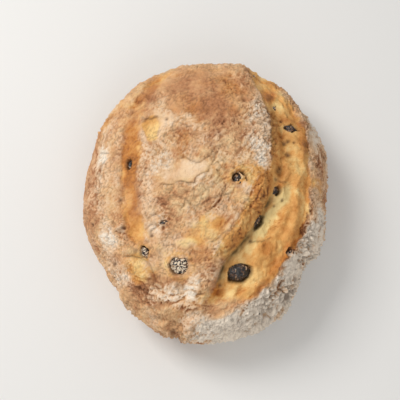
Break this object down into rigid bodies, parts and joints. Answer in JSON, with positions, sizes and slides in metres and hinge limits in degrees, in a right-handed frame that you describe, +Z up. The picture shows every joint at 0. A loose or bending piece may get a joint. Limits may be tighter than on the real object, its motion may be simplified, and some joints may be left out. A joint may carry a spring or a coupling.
{
  "type": "raisin bread loaf",
  "caption": "Small oval hearth loaf with a burst side, a folded floury crust and raisins showing in it.",
  "frame": {"origin": "on the table surface, under the centre of the loaf's bounding box", "axes": "+Z up; +Y along the loaf's length, towards the end where the burst split starts; +X towards the side with the split"},
  "size_m": [0.137, 0.162, 0.0656],
  "materials": {
    "crust": "matte",
    "raisin_skin": "satin"
  },
  "bodies": {
    "root": {"loaf": "crust", "raisin_front_large": "raisin_skin", "raisin_front_floury": "raisin_skin", "raisin_covered": "raisin_skin", "raisin_right_shoulder": "raisin_skin", "raisin_split_long": "raisin_skin", "raisin_split_top": "raisin_skin", "raisin_left_valley": "raisin_skin", "raisin_left_fold": "raisin_skin", "raisin_slit": "raisin_skin", "raisin_lip": "raisin_skin", "raisin_split_end": "raisin_skin", "raisin_upper_split": "raisin_skin", "raisin_back_flank": "raisin_skin", "raisin_left_flank": "raisin_skin", "raisin_right_flank": "raisin_skin", "raisin_front_flank": "raisin_skin"}
  },
  "joints": []
}
